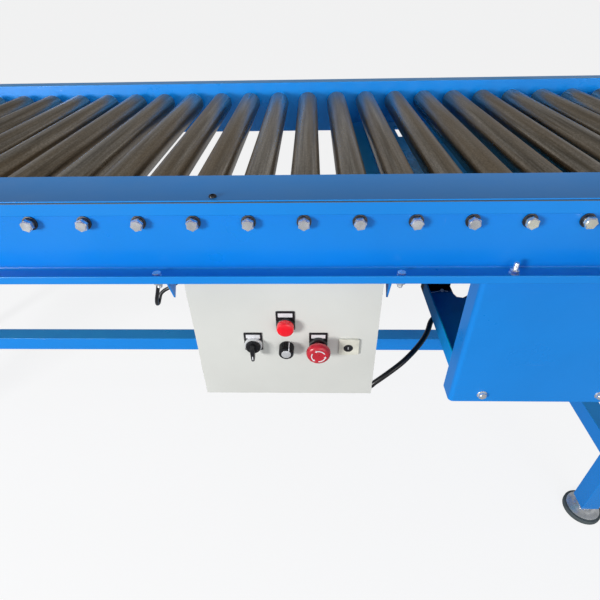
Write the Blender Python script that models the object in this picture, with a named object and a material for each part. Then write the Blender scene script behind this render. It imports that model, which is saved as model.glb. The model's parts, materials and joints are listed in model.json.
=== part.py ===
"""Powered roller conveyor: a straight, chain-driven bed on four levelling feet.

The conveyor runs along X, the operator's side faces -Y, and Z is up from the floor.
The origin is on the floor at the middle of the bed. All sizes are in metres.
"""

import math

import bmesh
import bpy
from mathutils import Matrix, Vector

# Driving dimensions of the bed
ROLLER_COUNT = 28
PITCH = 0.075
ROLLER_RADIUS = 0.0243
CONVEYING_HEIGHT = 0.820
AXIS_Z = CONVEYING_HEIGHT - ROLLER_RADIUS
END_MARGIN = 0.015
BED_LENGTH = ROLLER_COUNT * PITCH + 2 * END_MARGIN
HALF_LENGTH = BED_LENGTH / 2
INNER_WIDTH = 0.710
WEB_Y = INNER_WIDTH / 2
GAP = 0.0003

# Side channels
FRAME_TOP = AXIS_Z + 0.043
FRAME_BOTTOM = AXIS_Z - 0.079
FLANGE = 0.040
WALL = 0.0032
TOP_LIP = 0.018
BOTTOM_LIP = 0.0125
LIP_Y = WEB_Y + FLANGE
COVER_WIDTH = 0.0843
COVER_SHEET = 0.002

# Rollers and chains
FACE_END_Y = WEB_Y - 0.0196
FACE_LENGTH = 0.650
FACE_START_Y = FACE_END_Y - FACE_LENGTH
SPINDLE_RADIUS = 0.008
TUBE_BORE = ROLLER_RADIUS - 0.002
END_WALL = 0.003
SPROCKET_RADIUS = 0.0295
BED_SPROCKET_WIDTH = 0.009
DRIVE_SPROCKET_Y = -0.3406
DRIVE_SPROCKET_WIDTH = 0.008
CHAIN_HEIGHT = 0.008
CHAIN_CLEARANCE = 0.0008
RETURN_DROP = 0.0443
ROLLER_SIDES = 16
DRIVEN_ROLLER = 23
MOTOR_AXIS_Z = AXIS_Z - 0.250

# Legs and lower rail
TUBE = 0.040
TUBE_WALL = 0.0025
LEG_X = {"right": 0.9335, "left": -0.9875}
POST_Y = 0.3277
POST_BOTTOM = 0.0337
CROSS_TOP = AXIS_Z - 0.557
PLATE = 0.005
FOOT_TRAVEL = 0.030

# Control box
BOX_LEFT = 0.0805
BOX_WIDTH = 0.300
BOX_HEIGHT = 0.248
BOX_TOP = AXIS_Z - 0.101
BOX_FRONT = -0.3546
BOX_DEPTH = 0.150
DOOR_DEPTH = 0.015
BOX_SHEET = 0.002
HOLE_RADIUS = 0.0113
STEM_RADIUS = 0.0105
CONTROL_X = (0.1760, 0.2308, 0.2836)
CONTROL_Z = AXIS_Z - 0.2265
LAMP_Z = AXIS_Z - 0.1848
SPEED_Z = AXIS_Z - 0.2340
LOCK_X, LOCK_Z = 0.3334, AXIS_Z - 0.2335
HINGE_X, HINGE_Y = 0.0775, BOX_FRONT + DOOR_DEPTH
HINGE_RADIUS = 0.0026
KNUCKLE = 0.020
HINGE_HEIGHTS = (BOX_TOP - 0.045, BOX_TOP - BOX_HEIGHT + 0.045)

# Drive cover, motor base and gearmotor
DRIVE_X = (DRIVEN_ROLLER - (ROLLER_COUNT - 1) / 2) * PITCH
COVER_LEFT, COVER_RIGHT = 0.5225, 0.8285
COVER_FRONT = -0.3596
COVER_DEPTH = 0.038
COVER_BEND = 0.008
COVER_BOTTOM = AXIS_Z - 0.3635
BASE_BOTTOM = AXIS_Z - 0.311
BASE_SHEET = 0.003
BASE_BACK = -0.1160
HANGER_Y = -0.0696
TONGUE_WIDTH = 0.066
SIDE_HEIGHT = 0.0330
PAN_LEFT, PAN_RIGHT = 0.3625, 0.9625
PAN_BOTTOM = AXIS_Z - 0.060

CABLE_RADIUS = 0.0055
SIGNAL_RADIUS = 0.0030


# ---------------------------------------------------------------- helpers

def clear_scene():
    for item in list(bpy.data.objects):
        bpy.data.objects.remove(item)


def material(name, colour, roughness, metallic=0.0):
    made = bpy.data.materials.new(name)
    made.use_nodes = True
    shader = made.node_tree.nodes["Principled BSDF"]
    shader.inputs["Base Color"].default_value = (*colour, 1.0)
    shader.inputs["Roughness"].default_value = roughness
    shader.inputs["Metallic"].default_value = metallic
    return made


def add_object(name, bm, finish):
    bmesh.ops.recalc_face_normals(bm, faces=bm.faces)
    mesh = bpy.data.meshes.new(name)
    bm.to_mesh(mesh)
    bm.free()
    mesh.materials.append(finish)
    made = bpy.data.objects.new(name, mesh)
    bpy.context.scene.collection.objects.link(made)
    return made


def to_world(axis, u, v, along):
    """A point of an outline drawn across an axis: X takes (y, z), Y takes (x, z), Z takes (x, y)."""
    return {"X": (along, u, v), "Y": (u, along, v), "Z": (u, v, along)}[axis]


def prism(name, outline, axis, start, end, finish):
    """A flat outline pushed along an axis."""
    bm = bmesh.new()
    low = [bm.verts.new(to_world(axis, u, v, start)) for u, v in outline]
    high = [bm.verts.new(to_world(axis, u, v, end)) for u, v in outline]
    bm.faces.new(low)
    bm.faces.new(list(reversed(high)))
    for i in range(len(outline)):
        j = (i + 1) % len(outline)
        bm.faces.new((low[j], low[i], high[i], high[j]))
    return add_object(name, bm, finish)


def block(name, x, y, z, finish):
    """A box between two values on each axis."""
    outline = [(x[0], y[0]), (x[1], y[0]), (x[1], y[1]), (x[0], y[1])]
    return prism(name, outline, "Z", z[0], z[1], finish)


def ring_prism(name, outer, inner, axis, start, end, finish):
    """A closed band: the outer outline with the inner one taken out, pushed along an axis."""
    bm = bmesh.new()
    rings = []
    for along in (start, end):
        for outline in (outer, inner):
            rings.append([bm.verts.new(to_world(axis, u, v, along)) for u, v in outline])
    outer_low, inner_low, outer_high, inner_high = rings
    for a, b in ((outer_low, outer_high), (inner_high, inner_low),
                 (inner_low, outer_low), (outer_high, inner_high)):
        for i in range(len(a)):
            j = (i + 1) % len(a)
            bm.faces.new((a[i], a[j], b[j], b[i]))
    return add_object(name, bm, finish)


def rectangle(u, v):
    return [(u[0], v[0]), (u[1], v[0]), (u[1], v[1]), (u[0], v[1])]


def square_tube(name, u, v, wall, axis, start, end, finish):
    inner = rectangle((u[0] + wall, u[1] - wall), (v[0] + wall, v[1] - wall))
    return ring_prism(name, rectangle(u, v), inner, axis, start, end, finish)


def turned(name, profile, direction, origin, sides, finish):
    """A turned solid. The profile is (distance along the axis, radius) from one end to the other."""
    turn = Vector((0, 0, 1)).rotation_difference(Vector(direction)).to_matrix()
    bm = bmesh.new()
    rings = []
    for along, radius in profile:
        ring = []
        for i in range(sides):
            angle = 2 * math.pi * (i + 0.5) / sides
            point = Vector((radius * math.cos(angle), radius * math.sin(angle), along))
            ring.append(bm.verts.new(turn @ point))
        rings.append(ring)
    bm.faces.new(list(reversed(rings[0])))
    bm.faces.new(rings[-1])
    for a, b in zip(rings, rings[1:]):
        for i in range(sides):
            j = (i + 1) % sides
            bm.faces.new((a[i], a[j], b[j], b[i]))
    made = add_object(name, bm, finish)
    made.location = origin
    made.data.shade_smooth()
    made.data.set_sharp_from_angle(angle=math.radians(40))
    return made


def combine(target, tool, operation):
    """A Boolean that takes the tool's shape in or out, with the tool left as a hidden guide."""
    tool.name = target.name + "_guide_" + str(len(target.modifiers))
    tool.hide_render = True
    tool.display_type = "WIRE"
    step = target.modifiers.new(operation.lower(), "BOOLEAN")
    step.operation = operation
    step.object = tool


def join(target, *tools):
    for tool in tools:
        combine(target, tool, "UNION")


def cut(target, *tools):
    for tool in tools:
        combine(target, tool, "DIFFERENCE")


def smooth_route(points, steps):
    """Points along a Catmull-Rom curve through the route's own points."""
    route = [Vector(p) for p in points]
    padded = [2 * route[0] - route[1], *route, 2 * route[-1] - route[-2]]
    made = []
    for i in range(1, len(padded) - 2):
        a, b, c, d = padded[i - 1:i + 3]
        for step in range(steps):
            t = step / steps
            made.append(0.5 * (2 * b + (c - a) * t + (2 * a - 5 * b + 4 * c - d) * t ** 2
                               + (3 * b - a - 3 * c + d) * t ** 3))
    return [*made, route[-1]]


def cable(name, points, radius, steps, finish):
    """A round cable along a smooth route."""
    route = smooth_route(points, steps)
    curve = bpy.data.curves.new(name, "CURVE")
    curve.dimensions = "3D"
    curve.bevel_depth = radius
    curve.bevel_resolution = 2
    curve.use_fill_caps = True
    spline = curve.splines.new("POLY")
    spline.points.add(len(route) - 1)
    for point, place in zip(spline.points, route):
        point.co = (*place, 1.0)
    curve.materials.append(finish)
    made = bpy.data.objects.new(name, curve)
    bpy.context.scene.collection.objects.link(made)
    return made


# ---------------------------------------------------------------- side frames

def channel_outline(side):
    """A lipped channel that opens outwards, drawn as (y, z) on the given side, -1 or 1."""
    web, lip = WEB_Y, LIP_Y
    outline = [
        (web, FRAME_BOTTOM), (web, FRAME_TOP), (lip, FRAME_TOP), (lip, FRAME_TOP - TOP_LIP),
        (lip - WALL, FRAME_TOP - TOP_LIP), (lip - WALL, FRAME_TOP - WALL),
        (web + WALL, FRAME_TOP - WALL), (web + WALL, FRAME_BOTTOM + WALL),
        (lip - WALL, FRAME_BOTTOM + WALL), (lip - WALL, FRAME_BOTTOM + BOTTOM_LIP),
        (lip, FRAME_BOTTOM + BOTTOM_LIP), (lip, FRAME_BOTTOM),
    ]
    return [(side * y, z) for y, z in outline]


def side_frames(blue):
    for name, side in (("near_side_frame", -1), ("far_side_frame", 1)):
        prism(name, channel_outline(side), "X", -HALF_LENGTH, HALF_LENGTH, blue)


def chain_cover(blue):
    """The flat plate on the near channel's top flange, over the chain."""
    low = FRAME_TOP + GAP
    block("chain_cover", (-HALF_LENGTH, HALF_LENGTH), (-LIP_Y, -LIP_Y + COVER_WIDTH),
          (low, low + COVER_SHEET), blue)


def cross_tie(blue):
    """A flat tube that holds the two channels apart near the left leg."""
    middle, top = -0.600, AXIS_Z - 0.0557
    square_tube("cross_tie", (middle - 0.020, middle + 0.020), (top - 0.020, top), TUBE_WALL,
                "Y", -WEB_Y + GAP, WEB_Y - GAP, blue)


def under_pan(blue):
    """The plate under the rollers at the drive. Its near edge is cut back for the drive chain."""
    near, far, slot_edge = -WEB_Y + GAP, WEB_Y - GAP, -0.330
    tab = 0.050
    outline = [
        (PAN_LEFT, near), (PAN_LEFT + tab, near), (PAN_LEFT + tab, slot_edge),
        (PAN_RIGHT - tab, slot_edge), (PAN_RIGHT - tab, near), (PAN_RIGHT, near),
        (PAN_RIGHT, far), (PAN_LEFT, far),
    ]
    top = PAN_BOTTOM + 0.002
    pan = prism("under_pan", outline, "Z", PAN_BOTTOM, top, blue)
    rib = block("rib", (PAN_LEFT + 0.048, PAN_LEFT + 0.051), (-0.300, 0.330),
                (PAN_BOTTOM + 0.001, top + 0.004), blue)
    slot = block("slot", (0.4885, 0.4985), (0.2174, 0.2924), (PAN_BOTTOM - 0.01, top + 0.01), blue)
    join(pan, rib)
    cut(pan, slot)


# ---------------------------------------------------------------- rollers and chains

def roller_x(index):
    return (index - (ROLLER_COUNT - 1) / 2) * PITCH


def roller_profile(driven):
    """Spindle end, bed sprocket, hollow tube and far spindle end, as (distance along Y, radius)."""
    end = WEB_Y - GAP
    sprocket = FACE_START_Y - BED_SPROCKET_WIDTH
    profile = [(-end, SPINDLE_RADIUS)]
    if driven:
        back = DRIVE_SPROCKET_Y + DRIVE_SPROCKET_WIDTH
        profile += [(DRIVE_SPROCKET_Y, SPINDLE_RADIUS), (DRIVE_SPROCKET_Y, SPROCKET_RADIUS),
                    (back, SPROCKET_RADIUS), (back, 0.015), (sprocket, 0.015)]
    else:
        profile += [(sprocket, SPINDLE_RADIUS)]
    return profile + [(sprocket, SPROCKET_RADIUS), (FACE_START_Y, SPROCKET_RADIUS),
                      (FACE_START_Y, ROLLER_RADIUS), (FACE_END_Y, ROLLER_RADIUS),
                      (FACE_END_Y, TUBE_BORE), (FACE_START_Y + END_WALL, TUBE_BORE),
                      (FACE_START_Y + END_WALL, SPINDLE_RADIUS), (end, SPINDLE_RADIUS)]


def rollers(steel):
    plain = None
    for index in range(ROLLER_COUNT):
        name = f"roller_{index + 1:02d}"
        place = (roller_x(index), 0, AXIS_Z)
        if index == DRIVEN_ROLLER or plain is None:
            made = turned(name, roller_profile(index == DRIVEN_ROLLER), (0, 1, 0), place,
                          ROLLER_SIDES, steel)
            plain = plain or made.data
        else:
            made = bpy.data.objects.new(name, plain)
            made.location = place
            bpy.context.scene.collection.objects.link(made)


def stadium(first, second, radius, sides):
    """The outline of a belt round two equal wheels, as (u, v) points."""
    (u1, v1), (u2, v2) = first, second
    heading = math.atan2(v2 - v1, u2 - u1)
    points = []
    for (u, v), start in ((second, heading - math.pi / 2), (first, heading + math.pi / 2)):
        for i in range(sides + 1):
            angle = start + math.pi * i / sides
            points.append((u + radius * math.cos(angle), v + radius * math.sin(angle)))
    return points


def chain_loop(name, first, second, inner, y, steel):
    outer_line = stadium(first, second, inner + CHAIN_HEIGHT, 10)
    inner_line = stadium(first, second, inner, 10)
    ring_prism(name, outer_line, inner_line, "Y", y[0], y[1], steel)


def chains(steel):
    """One chain over every roller's sprocket with a lower return run, one down to the gearmotor."""
    upper = SPROCKET_RADIUS + CHAIN_CLEARANCE
    inner = (upper + RETURN_DROP) / 2
    middle = AXIS_Z + (upper - RETURN_DROP) / 2
    y = (FACE_START_Y - BED_SPROCKET_WIDTH + 0.0005, FACE_START_Y - 0.0005)
    chain_loop("bed_chain", (roller_x(0), middle), (roller_x(ROLLER_COUNT - 1), middle), inner, y, steel)
    y = (DRIVE_SPROCKET_Y + 0.0005, DRIVE_SPROCKET_Y + DRIVE_SPROCKET_WIDTH - 0.0005)
    chain_loop("drive_chain", (DRIVE_X, MOTOR_AXIS_Z), (DRIVE_X, AXIS_Z), upper, y, steel)


# ---------------------------------------------------------------- legs

def post(name, x, side, blue):
    """A square tube with a welded top plate that bolts under the channel's bottom flange."""
    half = TUBE / 2
    inner_y = POST_Y - TUBE / 2
    plate_top = FRAME_BOTTOM - GAP
    y = sorted((side * inner_y, side * (inner_y + TUBE)))
    plate_y = sorted((side * inner_y, side * (LIP_Y - 0.001)))
    made = block(name, (x - half, x + half), y, (POST_BOTTOM, plate_top - PLATE / 2), blue)
    bore = block("bore", (x - half + TUBE_WALL, x + half - TUBE_WALL),
                 (y[0] + TUBE_WALL, y[1] - TUBE_WALL),
                 (POST_BOTTOM - 0.01, plate_top - PLATE - 0.01), blue)
    plate = block("plate", (x - TUBE, x + TUBE), plate_y, (plate_top - PLATE, plate_top), blue)
    join(made, plate)
    cut(made, bore)


def levelling_foot(name, x, side, steel):
    """A rubber pad, a pressed dish, a lock nut and a threaded stem, turned about Z."""
    y = side * POST_Y
    profile = [(0.0, 0.039), (0.003, 0.041), (0.012, 0.041), (0.0125, 0.034), (0.020, 0.022),
               (0.026, 0.016), (POST_BOTTOM - GAP, 0.016), (POST_BOTTOM - GAP, 0.006),
               (POST_BOTTOM + 0.065, 0.006)]
    turned(name, profile, (0, 0, 1), (x, y, 0), 20, steel)


def legs(blue, steel):
    half = TUBE / 2
    for end, x in LEG_X.items():
        for row, side in (("near", -1), ("far", 1)):
            post(f"{end}_{row}_leg", x, side, blue)
            levelling_foot(f"{end}_{row}_foot", x, side, steel)
        reach = POST_Y - TUBE / 2 - GAP
        square_tube(f"{end}_leg_cross_member", (x - half, x + half), (CROSS_TOP - TUBE, CROSS_TOP),
                    TUBE_WALL, "Y", -reach, reach, blue)


def lower_rail(blue):
    """The long tube on the two leg cross-members."""
    bottom = CROSS_TOP + GAP
    left, right = LEG_X["left"] - TUBE / 2, LEG_X["right"] + TUBE / 2
    square_tube("lower_rail", (-TUBE / 2, TUBE / 2), (bottom, bottom + TUBE), TUBE_WALL,
                "X", left, right, blue)


# ---------------------------------------------------------------- control box

def add_hinge_half(target, way, finish):
    """Knuckles on the hinge line and the leaves that join them to the box (way 1) or door (way -1)."""
    for height in HINGE_HEIGHTS:
        low = height + GAP if way < 0 else height - KNUCKLE
        high = low + KNUCKLE
        edge = sorted((HINGE_Y + way * 0.0006, HINGE_Y + way * 0.008))
        knuckle = turned("knuckle", [(low, HINGE_RADIUS), (high, HINGE_RADIUS)], (0, 0, 1),
                         (HINGE_X, HINGE_Y, 0), 24, finish)
        leaf = block("leaf", (HINGE_X, BOX_LEFT + 0.001), edge, (low + 0.001, high - 0.001), finish)
        join(target, knuckle, leaf)


def control_box(cream):
    """An open-fronted shell with a cable gland under its floor and its half of the hinges."""
    x = (BOX_LEFT, BOX_LEFT + BOX_WIDTH)
    y = (BOX_FRONT + DOOR_DEPTH, BOX_FRONT + BOX_DEPTH)
    z = (BOX_TOP - BOX_HEIGHT, BOX_TOP)
    made = block("control_box", x, y, z, cream)
    inside = block("inside", (x[0] + BOX_SHEET, x[1] - BOX_SHEET), (y[0] - 0.01, y[1] - BOX_SHEET),
                   (z[0] + BOX_SHEET, z[1] - BOX_SHEET), cream)
    gland = turned("gland", [(0, 0.008), (0.006, 0.011), (0.0215, 0.011)], (0, 0, 1),
                   (0.3475, -0.2876, z[0] - 0.020), 12, cream)
    cut(made, inside)
    join(made, gland)
    add_hinge_half(made, 1, cream)


def control_door(cream):
    """A shallow pan with holes for the four controls and the lock, and its half of the hinges."""
    x = (BOX_LEFT, BOX_LEFT + BOX_WIDTH)
    y = (BOX_FRONT, BOX_FRONT + DOOR_DEPTH - GAP)
    z = (BOX_TOP - BOX_HEIGHT, BOX_TOP)
    made = block("control_door", x, y, z, cream)
    inside = block("inside", (x[0] + BOX_SHEET, x[1] - BOX_SHEET), (y[0] + BOX_SHEET, y[1] + 0.01),
                   (z[0] + BOX_SHEET, z[1] - BOX_SHEET), cream)
    cut(made, inside)
    places = [(CONTROL_X[1], LAMP_Z), (CONTROL_X[0], CONTROL_Z), (CONTROL_X[1], SPEED_Z),
              (CONTROL_X[2], CONTROL_Z)]
    for cx, cz in places:
        cut(made, turned("hole", [(-0.01, HOLE_RADIUS), (0.01, HOLE_RADIUS)], (0, 1, 0),
                         (cx, BOX_FRONT, cz), 24, cream))
    cut(made, turned("hole", [(-0.01, 0.0085), (0.01, 0.0085)], (0, 1, 0),
                     (LOCK_X, BOX_FRONT, LOCK_Z), 24, cream))
    add_hinge_half(made, -1, cream)


def control(name, profile, x, z, sides, finish):
    """A control turned about a line along Y, with distances measured inwards from the door's face."""
    return turned(name, profile, (0, 1, 0), (x, BOX_FRONT, z), sides, finish)


def controls(red, black, steel):
    stem = [(0.030, STEM_RADIUS)]
    control("pilot_lamp", [(-0.018, 0.011), (-0.015, 0.0137), (-0.006, 0.0142), (-0.006, 0.0148),
                           (-GAP, 0.0148), (-GAP, STEM_RADIUS), *stem], CONTROL_X[1], LAMP_Z, 20, red)
    control("emergency_stop_button",
            [(-0.032, 0.014), (-0.030, 0.0185), (-0.024, 0.0198), (-0.021, 0.0198), (-0.019, 0.016),
             (-0.019, 0.009), (0.030, 0.009)], CONTROL_X[2], CONTROL_Z, 20, red)
    selector = control("selector_switch",
                       [(-0.018, 0.0118), (-0.004, 0.0138), (-GAP, 0.0138), (-GAP, STEM_RADIUS), *stem],
                       CONTROL_X[0], CONTROL_Z, 24, black)
    lever = block("lever", (CONTROL_X[0] - 0.0032, CONTROL_X[0] + 0.0032),
                  (BOX_FRONT - 0.026, BOX_FRONT - 0.010), (CONTROL_Z - 0.0175, CONTROL_Z + 0.010), black)
    lever.data.transform(Matrix.Translation((-CONTROL_X[0], -BOX_FRONT, -CONTROL_Z)))
    lever.location = (CONTROL_X[0], BOX_FRONT, CONTROL_Z)
    join(selector, lever)
    control("speed_knob", [(-0.020, 0.0098), (-0.019, 0.0112), (-0.003, 0.0125), (-GAP, 0.0125),
                           (-GAP, 0.004), (0.030, 0.004)], CONTROL_X[1], SPEED_Z, 24, black)
    lock = control("door_lock", [(-0.004, 0.0075), (0.0165, 0.0075)], LOCK_X, LOCK_Z, 32, steel)
    cam = block("cam", (-0.007, 0.040), (0.0135, 0.0163), (-0.007, 0.007), steel)
    cam.location = (LOCK_X, BOX_FRONT, LOCK_Z)
    join(lock, cam)


def box_bracket(blue):
    """A plate under the near channel's flange with two tapered ears and stand-offs to the box."""
    top = FRAME_BOTTOM - GAP
    low = top - 0.003
    ears_x = (0.0550, 0.3885)
    made = block("box_bracket", (0.0380, 0.4140), (-0.386, -0.290), (low, top), blue)
    ear = [(-0.368, low + 0.001), (-0.3426, AXIS_Z - 0.1405), (-0.290, low + 0.001)]
    for left in ears_x:
        join(made, prism("ear", ear, "X", left, left + 0.003, blue))
    box_right = BOX_LEFT + BOX_WIDTH
    for left, right in ((ears_x[0] + 0.001, BOX_LEFT - GAP), (box_right + GAP, ears_x[1] + 0.001)):
        join(made, turned("stand_off", [(left, 0.006), (right, 0.006)], (1, 0, 0),
                          (0, -0.330, BOX_TOP - 0.009), 10, blue))


# ---------------------------------------------------------------- drive

def folded_outline(x, y, radius, wall, steps):
    """A U-shaped sheet seen from above: two returns and a front face, with round bends."""
    outer, inner = [], []
    for cx, start in ((x[0] + radius, math.pi), (x[1] - radius, 1.5 * math.pi)):
        for i in range(steps + 1):
            angle = start + math.pi / 2 * i / steps
            cosine, sine = math.cos(angle), math.sin(angle)
            outer.append((cx + radius * cosine, y[0] + radius + radius * sine))
            inner.append((cx + (radius - wall) * cosine, y[0] + radius + (radius - wall) * sine))
    return [(x[0], y[1]), *outer, (x[1], y[1]), (x[1] - wall, y[1]), *reversed(inner), (x[0] + wall, y[1])]


def drive_cover(blue):
    """A folded pan over the drive chain with a top flange that bolts under the near channel."""
    back = COVER_FRONT + COVER_DEPTH
    top = FRAME_BOTTOM - GAP
    outline = folded_outline((COVER_LEFT, COVER_RIGHT), (COVER_FRONT, back), COVER_BEND, COVER_SHEET, 6)
    made = prism("drive_cover", outline, "Z", COVER_BOTTOM, top, blue)
    flange = block("flange", (COVER_LEFT + COVER_BEND, COVER_RIGHT - COVER_BEND),
                   (-0.385, COVER_FRONT + 0.001), (top - COVER_SHEET, top), blue)
    join(made, flange)


def motor_base(blue):
    """The tray that carries the gearmotor, hung at the back from the pan under the rollers."""
    sheet = BASE_SHEET
    front = COVER_FRONT + COVER_SHEET + GAP
    inset = COVER_BEND
    cover_back = COVER_FRONT + COVER_DEPTH + GAP
    floor = (BASE_BOTTOM, BASE_BOTTOM + sheet)
    tongue_right = COVER_LEFT + TONGUE_WIDTH
    outline = [
        (COVER_LEFT + inset, front), (COVER_RIGHT - inset, front), (COVER_RIGHT - inset, cover_back),
        (COVER_RIGHT, cover_back), (COVER_RIGHT, BASE_BACK), (tongue_right + 0.020, BASE_BACK),
        (tongue_right + 0.004, BASE_BACK + 0.004), (tongue_right, BASE_BACK + 0.016),
        (tongue_right, HANGER_Y), (COVER_LEFT, HANGER_Y), (COVER_LEFT, cover_back),
        (COVER_LEFT + inset, cover_back),
    ]
    made = prism("motor_base", outline, "Z", floor[0], floor[1], blue)
    lip = block("lip", (COVER_LEFT + inset, COVER_RIGHT - inset), (front, front + sheet),
                (COVER_BOTTOM + 0.004, floor[0] + 0.001), blue)
    left = block("left_wall", (COVER_LEFT, COVER_LEFT + sheet), (cover_back, HANGER_Y),
                 (floor[0] + 0.001, floor[0] + SIDE_HEIGHT), blue)
    right = block("right_wall", (COVER_RIGHT - sheet, COVER_RIGHT), (cover_back, BASE_BACK),
                  (floor[0] + 0.001, floor[0] + SIDE_HEIGHT), blue)
    hanger = block("hanger", (COVER_LEFT, tongue_right), (HANGER_Y - sheet, HANGER_Y),
                   (floor[0] + 0.001, PAN_BOTTOM - GAP), blue)
    join(made, lip, left, right, hanger)


def gearmotor(grey):
    """A gearbox on the tray, a motor behind it and a terminal box on the motor's left side."""
    half = 0.055
    bottom = BASE_BOTTOM + BASE_SHEET + GAP
    gearbox = (-0.300, -0.195)
    made = block("gearmotor", (DRIVE_X - half, DRIVE_X + half), gearbox, (bottom, MOTOR_AXIS_Z + half), grey)
    motor = turned("motor", [(gearbox[1] - 0.002, 0.050), (-0.050, 0.050), (-0.042, 0.043)], (0, 1, 0),
                   (DRIVE_X, 0, MOTOR_AXIS_Z), 20, grey)
    terminal = block("terminal", (0.628, 0.690), (-0.175, -0.110), (0.540, 0.585), grey)
    gland = turned("gland", [(0, 0.008), (0.004, 0.010), (0.012, 0.010)], (0, 0, 1),
                   (0.645, -0.140, 0.530), 12, grey)
    join(made, motor, terminal, gland)


def motor_sprocket(steel):
    """The sprocket and output shaft in front of the gearbox."""
    back = DRIVE_SPROCKET_Y + DRIVE_SPROCKET_WIDTH
    profile = [(DRIVE_SPROCKET_Y, SPROCKET_RADIUS), (back, SPROCKET_RADIUS), (back, 0.016),
               (-0.318, 0.016), (-0.318, 0.010), (-0.300 - GAP, 0.010)]
    turned("motor_sprocket", profile, (0, 1, 0), (DRIVE_X, 0, MOTOR_AXIS_Z), 48, steel)


# ---------------------------------------------------------------- cables

def cables(black):
    """The power cable from the box to the gearmotor, and the short signal cable at the box's left."""
    power = [
        (0.3475, -0.2876, 0.4264), (0.3478, -0.2876, 0.4150), (0.3510, -0.2876, 0.4035),
        (0.3590, -0.2878, 0.3965), (0.3866, -0.2885, 0.3911), (0.4004, -0.2875, 0.4034),
        (0.4274, -0.2810, 0.4251), (0.4533, -0.2685, 0.4406), (0.4784, -0.2480, 0.4526),
        (0.4997, -0.2230, 0.4589), (0.5137, -0.2010, 0.4645), (0.5236, -0.1800, 0.4728),
        (0.5370, -0.1660, 0.4765), (0.5560, -0.1460, 0.4745), (0.5780, -0.1290, 0.4735),
        (0.6000, -0.1150, 0.4740), (0.6220, -0.1030, 0.4780), (0.6380, -0.0980, 0.4880),
        (0.6450, -0.1000, 0.5010), (0.6450, -0.1110, 0.5105), (0.6450, -0.1260, 0.5135),
        (0.6450, -0.1370, 0.5165), (0.6450, -0.1400, 0.5225), (0.6450, -0.1400, 0.5290),
    ]
    signal = [
        (BOX_LEFT - GAP, -0.3000, 0.6680), (0.0660, -0.3005, 0.6660), (0.0456, -0.3020, 0.6530),
        (0.0333, -0.3030, 0.6456), (0.0257, -0.3040, 0.6414), (0.0198, -0.3060, 0.6359),
        (0.0172, -0.3100, 0.6284), (0.0170, -0.3170, 0.6253), (0.0178, -0.3250, 0.6301),
        (0.0228, -0.3330, 0.6455), (0.0280, -0.3350, 0.6608), (0.0320, -0.3350, 0.6762),
        (0.0325, -0.3350, 0.6912), (0.0320, -0.3355, 0.7058), (0.0305, -0.3370, 0.7250),
        (0.0290, -0.3400, 0.7400), (0.0280, -0.3475, 0.7480), (0.0280, -0.3545, 0.7480),
    ]
    cable("power_cable", power, CABLE_RADIUS, 3, black)
    cable("signal_cable", signal, SIGNAL_RADIUS, 3, black)


def build():
    clear_scene()
    blue = material("blue_paint", (0.021, 0.262, 0.791), 0.35)
    cream = material("cream_paint", (0.75, 0.76, 0.68), 0.45)
    steel = material("roller_steel", (0.20, 0.19, 0.17), 0.40, 1.0)
    zinc = material("zinc_plate", (0.60, 0.60, 0.62), 0.30, 1.0)
    chain = material("chain_steel", (0.10, 0.10, 0.10), 0.50, 1.0)
    grey = material("motor_grey", (0.25, 0.27, 0.29), 0.50)
    black = material("black_plastic", (0.02, 0.02, 0.02), 0.45)
    red = material("red_plastic", (0.75, 0.02, 0.03), 0.30)
    side_frames(blue)
    chain_cover(blue)
    cross_tie(blue)
    under_pan(blue)
    rollers(steel)
    chains(chain)
    legs(blue, zinc)
    lower_rail(blue)
    control_box(cream)
    control_door(cream)
    controls(red, black, zinc)
    box_bracket(blue)
    drive_cover(blue)
    motor_base(blue)
    gearmotor(grey)
    motor_sprocket(chain)
    cables(black)


build()
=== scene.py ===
"""The looks of the powered roller conveyor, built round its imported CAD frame.

Lengths are in metres, Z is up and the operator's side faces -Y.
"""

import json
import math
import random

import bmesh
import bpy
from mathutils import Matrix, Vector

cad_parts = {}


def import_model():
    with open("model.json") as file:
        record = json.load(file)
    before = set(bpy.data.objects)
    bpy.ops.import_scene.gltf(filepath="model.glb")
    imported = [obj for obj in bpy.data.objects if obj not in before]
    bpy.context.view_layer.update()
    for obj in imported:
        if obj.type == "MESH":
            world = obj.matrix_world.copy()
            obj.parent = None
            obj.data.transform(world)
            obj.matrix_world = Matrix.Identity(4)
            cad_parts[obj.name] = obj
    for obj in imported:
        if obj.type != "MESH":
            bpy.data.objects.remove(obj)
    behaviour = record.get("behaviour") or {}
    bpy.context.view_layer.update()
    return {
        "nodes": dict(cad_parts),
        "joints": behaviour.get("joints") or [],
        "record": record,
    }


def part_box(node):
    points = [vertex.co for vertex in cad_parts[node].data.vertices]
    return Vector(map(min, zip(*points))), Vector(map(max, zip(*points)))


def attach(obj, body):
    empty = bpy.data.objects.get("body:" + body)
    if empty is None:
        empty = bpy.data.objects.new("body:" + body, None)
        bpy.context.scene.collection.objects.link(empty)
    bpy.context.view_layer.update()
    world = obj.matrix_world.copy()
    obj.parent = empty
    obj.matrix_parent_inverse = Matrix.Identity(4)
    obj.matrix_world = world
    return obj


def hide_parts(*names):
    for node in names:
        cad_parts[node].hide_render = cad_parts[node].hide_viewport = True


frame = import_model()
NODES = frame["nodes"]
PIVOTS = {joint["name"]: joint.get("pos_m") for joint in frame["joints"]}
FIXED = "conveyor_frame"
SHARP_FROM = math.radians(35)
ROLLER_COUNT = sum(name.startswith("roller_") for name in NODES)

# Camera
CAMERA_PLACE = (0.2729, -0.8876, 1.0569)
CAMERA_TILT, CAMERA_TURN, CAMERA_ROLL = 36.70, 1.951, -1.20
LENS_MM = 25.91

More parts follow.
